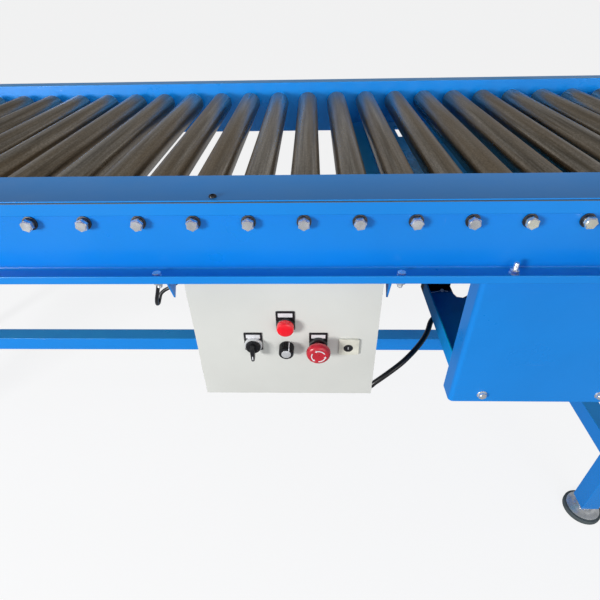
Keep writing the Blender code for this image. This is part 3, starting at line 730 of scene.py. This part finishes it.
def levelling_foot(name):
    """A ribbed rubber pad, a pressed dish, a lock nut and a threaded stem."""
    low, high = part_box(name)
    place = at((*centre_of(name).xy, low.z))
    radius = 0.0410
    bm = bmesh.new()
    lathe(bm, [(0, 0), (radius - 0.002, 0), (radius, 0.0015), (radius, 0.0045), (radius - 0.0006, 0.0050),
               (radius, 0.0055), (radius, 0.0105), (radius - 0.0015, 0.0120), (0.0345, 0.0126),
               (0, 0.0126)], 48)
    put(name + "_pad", bm, [RUBBER_AND_SHADOW_STRIP], place, name + "_body", [name])
    bm = bmesh.new()
    lathe(bm, [(0, 0.0127), (0.0352, 0.0127), (0.0355, 0.0135), (0.0345, 0.0142), (0.0285, 0.0160),
               (0.0225, 0.0195), (0.0190, 0.0225), (0.0150, 0.0238), (0, 0.0240)], 48)
    slab(bm, hexagon(0.0185), 0.0240, 0.0320)
    stem, top = 0.0058, high.z - low.z
    profile = [(0, 0.0318)]
    turns = round((top - 0.034) / 0.002)
    for i in range(turns):
        z = 0.0322 + (top - 0.034) * i / turns
        profile += [(stem * 0.88, z), (stem, z + 0.001)]
    profile += [(stem * 0.8, top), (0, top)]
    lathe(bm, profile, 20)
    put(name + "_dish", bm, [ZINC], place, name + "_body")


def legs():
    for leg in ("left_near", "left_far", "right_near", "right_far"):
        levelling_foot(leg + "_foot")
        bm = bmesh.new()
        holed_slab(bm, rounded(0.0345, 0.0345, 0.002), 0.0066, 0.0008, 0.0058)
        low_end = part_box(leg + "_leg")[0].z
        put(leg + "_leg_foot_plate", bm, [ZINC], at((*centre_of(leg + "_foot").xy, low_end)))


def rail_plugs():
    """The black plastic plugs in the lower rail's open ends."""
    low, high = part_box("lower_rail")
    middle = centre_of("lower_rail")
    for label, x, way in (("left", low.x, -1), ("right", high.x, 1)):
        bm = bmesh.new()
        slab(bm, rounded(0.0395, 0.0395, 0.003), 0.0001, 0.0022)
        slab(bm, rounded(0.0340, 0.0340, 0.002), -0.012, 0.0001)
        put(f"lower_rail_{label}_plug", bm, [BLACK],
            at((x, middle.y, middle.z), Matrix.Rotation(way * math.pi / 2, 4, "Y")), edge=0.0006)


# --- control box

def control_centres():
    """Each control's centre on the door, as (x, z)."""
    centres = {"lamp": centre_of("pilot_lamp"), "stop": centre_of("emergency_stop_button")}
    for key in ("selector", "speed", "lock"):
        centres[key] = PIVOTS[key + "_turn"]
    return {key: (place[0], place[2]) for key, place in centres.items()}


def face_piece(name, build, finishes, centre, body, replaces=(), edge=0.0):
    """A piece on the door's face: built about its hole, with local Z pointing out to the operator."""
    bm = bmesh.new()
    build(bm)
    x, z = centre
    put(name, bm, finishes, at((x, DOOR_LOW.y, z), OUT_NEAR), body, replaces, edge)


def legend_plate(name, centre, rise):
    """A black plate behind a control, with a blank white insert above the hole."""
    def plate(bm):
        slab(bm, rounded(0.0304, 0.0375, 0.0016, (0, rise)), 0.0001, 0.0014)
    face_piece(name + "_plate", plate, [BLACK], centre, "door", edge=0.0003)

    def insert(bm):
        slab(bm, rounded(0.0232, 0.0078, 0.0008, (0, rise + 0.0112)), 0.0014, 0.0019)
    face_piece(name + "_insert", insert, [PRINT_AND_HIGHLIGHT_WHITE], centre, "door", edge=0.0002)


def barrel(bm):
    """The threaded part of a control behind the door."""
    radius, depth, turns = 0.0104, 0.029, 8
    profile = [(0, -0.0001)]
    for i in range(turns):
        z = -0.0022 - (depth - 0.004) * i / turns
        profile += [(radius, z), (radius * 0.94, z - 0.0012)]
    profile += [(radius * 0.9, -depth), (0, -depth)]
    lathe(bm, profile, 28)


def pilot_lamp(centre):
    def body(bm):
        lathe(bm, [(0, 0.0015), (0.0146, 0.0015), (0.0148, 0.0022), (0.0146, 0.0062), (0.0138, 0.0068),
                   (0, 0.0068)], 40)
        barrel(bm)
    face_piece("pilot_lamp_bezel", body, [BLACK], centre, "door", ["pilot_lamp"])

    def lens(bm):
        count = 96
        rows = []
        for radius, height in ((0.0136, 0.0066), (0.0138, 0.0075), (0.0136, 0.0138), (0.0128, 0.0160),
                               (0.0110, 0.0171), (0.0060, 0.0178)):
            rib = 0.00016 if height < 0.014 else 0.0
            rows.append([bm.verts.new((*polar(radius + rib * (i % 2), 2 * math.pi * i / count), height))
                         for i in range(count)])
        for a, b in zip(rows, rows[1:]):
            for i in range(count):
                bm.faces.new((a[i], a[(i + 1) % count], b[(i + 1) % count], b[i]))
        bm.faces.new(rows[-1])
        bm.faces.new(list(reversed(rows[0])))
    face_piece("pilot_lamp_lens", lens, [RED_LENS], centre, "door")


def selector(centre):
    def bezel(bm):
        lathe(bm, [(0.0122, 0.0002), (0.0148, 0.0015), (0.0149, 0.0055), (0.0142, 0.0074), (0.0124, 0.0078),
                   (0.0122, 0.0050)], 48, ring=True)
    face_piece("selector_bezel", bezel, [SILVER], centre, "door")

    def knob(bm):
        lathe(bm, [(0, 0.0010), (0.0119, 0.0010), (0.0119, 0.0105), (0.0112, 0.0125), (0, 0.0130)], 40)
        lathe(bm, [(0.0119, 0.0103), (0.0122, 0.0108), (0.0119, 0.0113)], 40, ring=True)
        barrel(bm)
    face_piece("selector_knob", knob, [BLACK], centre, "selector", ["selector_switch"])

    def lever(bm):
        outline = [(-0.0032, 0.0085), (0.0032, 0.0085), (0.0036, 0.0), (0.0028, -0.0168), (0.0016, -0.0190),
                   (-0.0016, -0.0190), (-0.0028, -0.0168), (-0.0036, 0.0)]
        slab(bm, outline, 0.0122, 0.0245)
    face_piece("selector_lever", lever, [BLACK], centre, "selector", edge=0.0012)

    def pointer(bm):
        slab(bm, rounded(0.0016, 0.0075, 0.0007, (0, -0.0110)), 0.0244, 0.0248)
    face_piece("selector_pointer", pointer, [PRINT_AND_HIGHLIGHT_WHITE], centre, "selector")


def speed_knob(centre):
    def skirt(bm):
        slab(bm, gear(24, 0.0117, 0.0123), 0.0030, 0.0172)
        lathe(bm, [(0, 0.0004), (0.0126, 0.0004), (0.0126, 0.0020), (0.0119, 0.0031), (0, 0.0031)], 40)
        lathe(bm, [(0, 0.0171), (0.0116, 0.0171), (0.0108, 0.0184), (0, 0.0184)], 40)
        lathe(bm, [(0, -0.0290), (0.0036, -0.0290), (0.0036, 0.0005), (0, 0.0005)], 20)
    face_piece("speed_knob_skirt", skirt, [BLACK], centre, "speed", ["speed_knob"])

    def cap(bm):
        lathe(bm, [(0, 0.0183), (0.0078, 0.0183), (0.0078, 0.0190), (0.0070, 0.0195), (0, 0.0195)], 40)
    face_piece("speed_knob_cap", cap, [SILVER], centre, "speed")

    def pointer(bm):
        brick(bm, (0.0040, 0.0080, 0.0184), (0.0054, 0.0112, 0.0200))
        brick(bm, (0.0040, 0.0106, 0.0032), (0.0054, 0.0126, 0.0186))
    face_piece("speed_knob_pointer", pointer, [PRINT_AND_HIGHLIGHT_WHITE], centre, "speed")


def arc_arrow(bm, start, sweep, radius, width, low, high):
    """A raised curved arrow on the stop button's face."""
    steps = 10
    angles = [start + sweep * i / steps for i in range(steps + 1)]
    outer = [polar(radius + width / 2, angle) for angle in angles]
    inner = [polar(radius - width / 2, angle) for angle in angles]
    end = start + sweep
    flare = width * 1.25
    head = [polar(radius + flare, end), polar(radius, end + 0.26), polar(radius - flare, end)]
    slab(bm, outer + head + list(reversed(inner)), low, high)


def stop_button(centre):
    def collar(bm):
        lathe(bm, [(0.0096, 0.0015), (0.0146, 0.0015), (0.0148, 0.0024), (0.0145, 0.0070), (0.0130, 0.0080),
                   (0.0096, 0.0082)], 48, ring=True)
    face_piece("stop_button_collar", collar, [BLACK], centre, "door")

    def head(bm):
        lathe(bm, [(0, -0.029), (0.0088, -0.029), (0.0088, 0.0125), (0.0125, 0.0150), (0.0175, 0.0185),
                   (0.0194, 0.0205), (0.0198, 0.0228), (0.0195, 0.0252), (0.0186, 0.0276), (0.0170, 0.0295),
                   (0.0145, 0.0308), (0.0110, 0.0313), (0.0060, 0.0312), (0, 0.0312)], 64)
    face_piece("stop_button_head", head, [RED_STOP], centre, "emergency_stop", ["emergency_stop_button"])

    def arrows(bm):
        for i in range(3):
            arc_arrow(bm, 2 * math.pi * i / 3 + 0.5, 1.35, 0.0112, 0.0018, 0.0306, 0.0317)
    face_piece("stop_button_arrows", arrows, [PRINT_AND_HIGHLIGHT_WHITE], centre, "emergency_stop")


def door_lock(centre):
    def plate(bm):
        slab(bm, rounded(0.0335, 0.0335, 0.0022, (0.0012, 0.0016)), 0.0001, 0.0040)
    face_piece("door_lock_plate", plate, [LOCK_CREAM], centre, "door", edge=0.0008)

    def ring(bm):
        lathe(bm, [(0, 0.0034), (0.0078, 0.0034), (0.0078, 0.0044), (0.0070, 0.0048), (0.0052, 0.0046),
                   (0.0048, 0.0041), (0, 0.0040)], 32)
    face_piece("door_lock_ring", ring, [BLACK], centre, "lock", ["door_lock"])

    def barrel_and_cam(bm):
        lathe(bm, [(0, -0.0163), (0.0060, -0.0163), (0.0060, 0.0030), (0, 0.0030)], 28)
        slab(bm, rounded(0.0460, 0.0130, 0.003, (0.0165, 0)), -0.0163, -0.0137)
        slab(bm, hexagon(0.011), -0.0185, -0.0163)
    face_piece("door_lock_cam", barrel_and_cam, [ZINC], centre, "lock", edge=0.0003)

    def keyway(bm):
        slab(bm, rounded(0.0018, 0.0055, 0.0006), 0.0038, 0.0043)
    face_piece("door_lock_keyway", keyway, [ZINC], centre, "lock")


def door_seal():
    """The foam seal round the door's inside."""
    bm = bmesh.new()
    inset, width = 0.0080, 0.0080
    y0, y1 = DOOR_LOW.y + 0.0022, DOOR_LOW.y + 0.0100
    x0, x1 = DOOR_LOW.x + inset, DOOR_HIGH.x - inset
    z0, z1 = DOOR_LOW.z + inset, DOOR_HIGH.z - inset
    for a, b in (((x0, z0), (x1, z0 + width)), ((x0, z1 - width), (x1, z1)),
                 ((x0, z0 + width), (x0 + width, z1 - width)), ((x1 - width, z0 + width), (x1, z1 - width))):
        brick(bm, (a[0], y0, a[1]), (b[0], y1, b[1]))
    put("door_seal", bm, [RUBBER_AND_SHADOW_STRIP], body="door", edge=0.001)


def box_fittings():
    """The mounting plate inside the box, with two rails, generic switchgear and terminals."""
    back = BOX_HIGH.y - 0.002
    middle_x = centre_of("control_box").x
    low_z, high_z = DOOR_LOW.z + 0.030, DOOR_HIGH.z - 0.025
    left, right = BOX_LOW.x + 0.035, BOX_HIGH.x - 0.035
    bm = bmesh.new()
    brick(bm, (left - 0.010, back - 0.0100, low_z), (right + 0.010, back - 0.0080, high_z))
    for z in (low_z + 0.060, low_z + 0.150):
        brick(bm, (left, back - 0.0175, z - 0.0175), (right, back - 0.0160, z + 0.0175))
        brick(bm, (left, back - 0.0162, z - 0.0130), (right, back - 0.0100, z + 0.0130))
    put("box_mounting_plate", bm, [ZINC], edge=0.0004)
    bm = bmesh.new()
    z = low_z + 0.150
    for shift, width in ((-0.080, 0.045), (-0.028, 0.045), (0.030, 0.056), (0.082, 0.036)):
        x0, x1 = middle_x + shift - width / 2, middle_x + shift + width / 2
        brick(bm, (x0, back - 0.080, z - 0.040), (x1, back - 0.0176, z + 0.040))
        brick(bm, (x0 + 0.004, back - 0.088, z - 0.022), (x1 - 0.004, back - 0.080, z + 0.022))
    put("box_switchgear", bm, [BLACK], edge=0.0012)
    bm = bmesh.new()
    for i in range(16):
        x = middle_x - 0.080 + 0.0105 * i
        brick(bm, (x, back - 0.048, low_z + 0.038), (x + 0.0098, back - 0.0176, low_z + 0.082))
    put("box_terminals", bm, [LOCK_CREAM], edge=0.0006)


def box_gland():
    """The cable gland under the box: a hexagon and a domed cap."""
    x, y, _ = POWER_ROUTE[0]
    bm = bmesh.new()
    slab(bm, hexagon(0.0260), -0.0080, 0.0)
    lathe(bm, [(0, -0.0080), (0.0122, -0.0080), (0.0122, -0.0150), (0.0112, -0.0190), (0.0085, -0.0212),
               (0.0056, -0.0214), (0.0056, -0.0190), (0, -0.0190)], 36)
    put("box_cable_gland", bm, [BLACK], at((x, y, DOOR_LOW.z - 0.0002)), edge=0.0004)


def control_panel():
    centre = control_centres()
    for key, rise in (("lamp", 0.0082), ("selector", 0.0052), ("stop", 0.0052)):
        legend_plate(f"{key}_legend", centre[key], rise)
    pilot_lamp(centre["lamp"])
    selector(centre["selector"])
    speed_knob(centre["speed"])
    stop_button(centre["stop"])
    door_lock(centre["lock"])
    door_seal()
    box_fittings()
    box_gland()


# --- gearmotor

def gearmotor():
    """A finned motor with a fan cowl behind a flanged gearbox, and a terminal box at its side."""
    low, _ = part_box("gearmotor")
    turn = at((DRIVE_X, 0, DRIVE_Z), OUT_FAR)
    bm = bmesh.new()
    slab(bm, rounded(0.109, 0.111, 0.010, (0, 0.001)), low.y + 0.004, -0.196, turn)
    lathe(bm, [(0, low.y + 0.0005), (0.034, low.y + 0.0005), (0.034, low.y + 0.0060), (0, low.y + 0.0060)],
          40, turn)
    lathe(bm, [(0, -0.197), (0.0500, -0.197), (0.0500, -0.186), (0.0430, -0.180), (0.0430, -0.092),
               (0.0490, -0.090), (0.0490, -0.058), (0.0440, low.y + 0.2580), (0, low.y + 0.2580)], 48, turn)
    fins = 28
    section = [(0.0420, -0.0009), (0.0490, -0.0006), (0.0490, 0.0006), (0.0420, 0.0009)]
    for i in range(fins):
        slab(bm, section, -0.182, -0.092, turn @ Matrix.Rotation(2 * math.pi * (i + 0.5) / fins, 4, "Z"))
    put("gearmotor_body", bm, [GREY], replaces=["gearmotor"], edge=0.0006)
    bm = bmesh.new()
    brick(bm, (low.x + 0.0005, -0.1745, 0.5405), (DRIVE_X - 0.040, -0.1105, 0.5795))
    brick(bm, (low.x, -0.1750, 0.5795), (DRIVE_X - 0.042, -0.1100, 0.5848))
    put("gearmotor_terminal_box", bm, [GREY], edge=0.0015)
    bm = bmesh.new()
    x, y, z = POWER_ROUTE[-1]
    slab(bm, hexagon(0.0200), z + 0.0060, z + 0.0120)
    lathe(bm, [(0, z + 0.0062), (0.0094, z + 0.0062), (0.0088, z + 0.0020), (0.0046, z + 0.0010),
               (0.0046, z + 0.0030), (0, z + 0.0030)], 28)
    put("gearmotor_cable_gland", bm, [BLACK], at((x, y, 0)))
    bolt = fastener_mesh("gearbox_bolt", bolt_head, 0.0100, 0.0050, 0.0062)
    for i, (side, up) in enumerate(((-1, -1), (1, -1), (1, 1), (-1, 1))):
        put(f"gearbox_bolt_{i + 1}", bolt, [ZINC],
            at((DRIVE_X + side * 0.042, low.y + 0.004, DRIVE_Z + up * 0.042), OUT_NEAR))


def motor_sprocket():
    low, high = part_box("motor_sprocket")
    bm = bmesh.new()
    sprocket(bm, DRIVE_SPROCKET_Y, 0, 0.009)
    lathe(bm, [(0, low.y + 0.0003), (0.0088, low.y + 0.0003), (0.0088, -0.3352), (0.0155, -0.3352),
               (0.0160, -0.3345), (0.0160, -0.3180), (0.0100, -0.3180), (0.0100, high.y), (0, high.y)],
          32, OUT_FAR)
    put("motor_drive_sprocket", bm, [CHAIN_STEEL_AND_SHADE], at((DRIVE_X, 0, DRIVE_Z)), "motor_sprocket_body",
        ["motor_sprocket"])


# --- cables

POWER_ROUTE = [
    (0.3475, -0.2876, 0.4264), (0.3478, -0.2876, 0.4150), (0.3510, -0.2876, 0.4035),
    (0.3590, -0.2878, 0.3965), (0.3866, -0.2885, 0.3911), (0.4004, -0.2875, 0.4034),
    (0.4274, -0.2810, 0.4251), (0.4533, -0.2685, 0.4406), (0.4784, -0.2480, 0.4526),
    (0.4997, -0.2230, 0.4589), (0.5137, -0.2010, 0.4645), (0.5236, -0.1800, 0.4728),
    (0.5370, -0.1660, 0.4765), (0.5560, -0.1460, 0.4745), (0.5780, -0.1290, 0.4735),
    (0.6000, -0.1150, 0.4740), (0.6220, -0.1030, 0.4780), (0.6380, -0.0980, 0.4880),
    (0.6450, -0.1000, 0.5010), (0.6450, -0.1110, 0.5105), (0.6450, -0.1260, 0.5135),
    (0.6450, -0.1370, 0.5165), (0.6450, -0.1400, 0.5225), (0.6450, -0.1400, 0.5290),
]
SIGNAL_ROUTE = [
    (0.0802, -0.3000, 0.6680), (0.0660, -0.3005, 0.6660), (0.0456, -0.3020, 0.6530),
    (0.0333, -0.3030, 0.6456), (0.0257, -0.3040, 0.6414), (0.0198, -0.3060, 0.6359),
    (0.0172, -0.3100, 0.6284), (0.0170, -0.3170, 0.6253), (0.0178, -0.3250, 0.6301),
    (0.0228, -0.3330, 0.6455), (0.0280, -0.3350, 0.6608), (0.0320, -0.3350, 0.6762),
    (0.0325, -0.3350, 0.6912), (0.0320, -0.3355, 0.7058), (0.0305, -0.3370, 0.7250),
    (0.0290, -0.3400, 0.7400), (0.0280, -0.3475, 0.7480), (0.0280, -0.3545, 0.7480),
]


def smooth_route(points, steps):
    """Points along a Catmull-Rom curve through the route's own points."""
    route = [Vector(p) for p in points]
    padded = [2 * route[0] - route[1], *route, 2 * route[-1] - route[-2]]
    made = []
    for i in range(1, len(padded) - 2):
        a, b, c, d = padded[i - 1:i + 3]
        for step in range(steps):
            t = step / steps
            made.append(0.5 * (2 * b + (c - a) * t + (2 * a - 5 * b + 4 * c - d) * t ** 2
                               + (3 * b - a - 3 * c + d) * t ** 3))
    return [*made, route[-1]]


def tube_along(name, route, diameter, finish):
    """A round tube along a route, as a curve fixed to the conveyor."""
    curve = bpy.data.curves.new(name, "CURVE")
    curve.dimensions = "3D"
    curve.bevel_depth = diameter / 2
    curve.bevel_resolution = 4
    curve.use_fill_caps = True
    spline = curve.splines.new("POLY")
    spline.points.add(len(route) - 1)
    for point, place in zip(spline.points, route):
        point.co = (*place, 1.0)
    spline.use_smooth = True
    curve.materials.append(finish)
    made = link(name, curve)
    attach(made, FIXED)
    return made


def cable(name, node, points, diameter):
    route = smooth_route(points, 6)
    made = tube_along(name, route, diameter, CABLE)
    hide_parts(node)


def tray_rim_painted_highlight():
    """A thin tube along the back edge of the motor tray's floor, and a screw beside it, both white so that
    they show pale in the tray's shade: painted highlight.
    """
    left = COVER_LOW.x
    floor_top = TRAY_FLOOR_TOP + 0.0004
    places = ((0.0012, -0.1355), (0.0069, -0.1136), (0.0143, -0.0997), (0.0289, -0.0939), (0.0430, -0.0909),
              (0.0558, -0.0928))
    route = smooth_route([(left + x, y, floor_top) for x, y in places], 5)
    tube_along("motor_base_rim", route, 0.0018, PRINT_AND_HIGHLIGHT_WHITE)
    screw = fastener_mesh("motor_base_screw", bolt_head, 0.0070, 0.0030, 0.0045)
    put("motor_base_screw", screw, [PRINT_AND_HIGHLIGHT_WHITE], at((left + 0.0430, -0.0900, TRAY_FLOOR_TOP)))


def signal_socket():
    """The small socket that the thin cable ends in, on the near web's inner side."""
    x, _, z = SIGNAL_ROUTE[-1]
    bm = bmesh.new()
    slab(bm, rounded(0.016, 0.016, 0.003), 0.0, 0.007, at((x, NEAR_HIGH.y, z), OUT_FAR))
    put("signal_socket", bm, [BLACK], edge=0.0006)


def signal_strain_relief():
    _, y, z = SIGNAL_ROUTE[0]
    bm = bmesh.new()
    lathe(bm, [(0, 0), (0.0060, 0), (0.0058, 0.0040), (0.0044, 0.0060), (0.0031, 0.0140), (0, 0.0140)], 24,
          at((BOX_LOW.x, y, z), Matrix.Rotation(-math.pi / 2, 4, "Y")))
    put("signal_strain_relief", bm, [BLACK])


# --- camera, light and floor

def camera():
    data = bpy.data.cameras.new("camera")
    data.sensor_width = 36.0
    data.lens = LENS_MM
    data.clip_start, data.clip_end = 0.02, 500.0
    made = link("camera", data)
    turn = Matrix.Rotation(math.radians(CAMERA_TURN), 4, "Z")
    tilt = Matrix.Rotation(math.radians(90 - CAMERA_TILT), 4, "X")
    roll = Matrix.Rotation(math.radians(CAMERA_ROLL), 4, "Z")
    made.matrix_world = Matrix.Translation(CAMERA_PLACE) @ turn @ tilt @ roll
    bpy.context.scene.camera = made


def area_light(name, place, target, size, watts):
    data = bpy.data.lights.new(name, "AREA")
    data.shape = "RECTANGLE"
    data.size, data.size_y = size
    data.energy = watts
    made = link(name, data)
    made.location = place
    made.rotation_euler = (Vector(target) - Vector(place)).to_track_quat("-Z", "Y").to_euler()
    made.visible_camera = False


def world():
    """A surround that is brightest in front of the operator's side and dimmer behind, above and below."""
    made = bpy.data.worlds.new("studio")
    made.use_nodes = True
    tree = made.node_tree
    way = add_node(tree, "SeparateXYZ", {"Vector": add_node(tree, "TexCoord").outputs["Generated"]}).outputs
    front = mix(tree, spread(tree, way["Y"], -0.5, 0.5), (0.62, 0.63, 0.65), (0.36, 0.37, 0.39))
    with_top = mix(tree, spread(tree, way["Z"], 0.12, 0.55), front, (0.20, 0.21, 0.225))
    whole = mix(tree, spread(tree, way["Z"], -0.05, -0.5), with_top, (0.26, 0.27, 0.29))
    background = tree.nodes["Background"]
    tree.links.new(whole, background.inputs["Color"])
    background.inputs["Strength"].default_value = 1.0
    bpy.context.scene.world = made
    bpy.context.scene.view_settings.view_transform = "Standard"


def floor():
    """A wide pale floor that also glows a little, so that it stays pale under the dim ceiling."""
    half = 120.0
    bm = bmesh.new()
    corners = ((-half, -half), (half, -half), (half, half), (-half, half))
    bm.faces.new([bm.verts.new((x, y, 0)) for x, y in corners])
    mesh = finish_mesh("floor", bm)
    made, _, shader = new_material("pale_floor", 0.9, specular=0.0)
    shader.inputs["Base Color"].default_value = (0.2, 0.2, 0.2, 1)
    shader.inputs["Emission Color"].default_value = (1, 1, 1, 1)
    shader.inputs["Emission Strength"].default_value = 0.83
    mesh.materials.append(made)
    piece = link("floor", mesh)
    piece.visible_diffuse = False
    piece.visible_glossy = False


def lights():
    area_light("left_key", (-2.3, -2.7, 1.3), (0.1, -0.3, 0.7), (0.8, 0.8), 88)
    area_light("front_fill", (1.4, -3.0, 1.4), (0.4, -0.3, 0.6), (2.0, 1.6), 16)
    area_light("far_web_fill", (0.3, -0.3, 1.1), (0.3, 0.36, 0.78), (2.6, 0.06), 3)


camera()
world()
floor()
lights()
cable("power_lead", "power_cable", POWER_ROUTE, 0.011)
cable("signal_lead", "signal_cable", SIGNAL_ROUTE, 0.006)
signal_socket()
signal_strain_relief()
tray_rim_painted_highlight()
dress_cad_nodes()
frame_bolts()
web_fillets()
cover_gap_painted_shadow()
flange_bolts()
cover_fasteners()
rollers()
chains()
legs()
rail_plugs()
control_panel()
gearmotor()
motor_sprocket()
